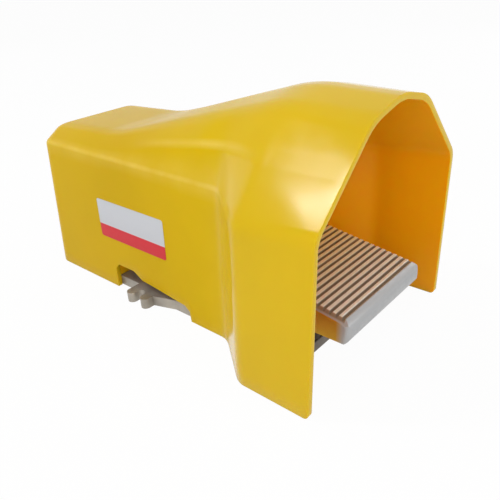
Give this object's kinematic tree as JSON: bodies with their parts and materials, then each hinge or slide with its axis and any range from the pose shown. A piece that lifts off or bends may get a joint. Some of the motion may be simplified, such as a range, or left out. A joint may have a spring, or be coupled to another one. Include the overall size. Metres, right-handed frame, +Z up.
{
  "type": "pneumatic foot valve",
  "caption": "Foot-operated pneumatic valve: ribbed cast pedal under a flared yellow guard, hinged on a cast base and pushing a spool in a ported valve body.",
  "frame": {"origin": "middle of the overall box, on the floor", "axes": "+Z up, -Y out of the foot opening, +X to the right of somebody who looks along +Y into the opening"},
  "size_m": [0.144, 0.256, 0.1435],
  "materials": {
    "guard_plastic": "moulded, semi-gloss",
    "cast_aluminium": "die-cast, tumbled",
    "body_aluminium": "machined, natural",
    "steel": "ground",
    "spring_steel": "zinc plated",
    "bronze": "sintered",
    "rubber": "moulded, matt"
  },
  "bodies": {
    "frame": {"guard": "guard_plastic", "base": "cast_aluminium", "pivot_bushes": "bronze", "stop_buffers": "rubber", "front_cap": "body_aluminium", "cap_screws": "steel", "rod_wiper": "rubber", "valve_body": "body_aluminium", "rear_plug": "body_aluminium", "plug_seal": "rubber", "body_screws": "steel", "guard_screws": "steel", "pedal_spring": "spring_steel", "spool_spring": "spring_steel"},
    "treadle": {"pedal": "cast_aluminium", "pivot_pin": "steel", "pin_clips": "spring_steel", "roller_pin": "steel"},
    "roller_body": {"roller": "steel"},
    "slider": {"push_rod": "steel", "spool": "body_aluminium", "spool_seals": "rubber"}
  },
  "joints": [
    {"name": "pedal_hinge", "type": "hinge", "parent": "frame", "child": "treadle", "pos_m": [0, -0.0414, 0.036], "axis": [1, 0, 0], "range_deg": [0, 12], "stiffness_Nm_per_rad": 6, "springref_deg": -8.59, "deforming": ["pedal_spring"]},
    {"name": "spool_slide", "type": "slide", "parent": "frame", "child": "slider", "axis": [0, 1, 0], "range_m": [0, 0.0037], "deforming": ["spool_spring"]},
    {"name": "roller_spin", "type": "hinge", "parent": "treadle", "child": "roller_body", "pos_m": [0, -0.0414, 0.019], "axis": [1, 0, 0], "continuous": true}
  ],
  "couplings": [
    {"joint": "spool_slide", "follows": "pedal_hinge", "m_per_rad": 0.017}
  ]
}
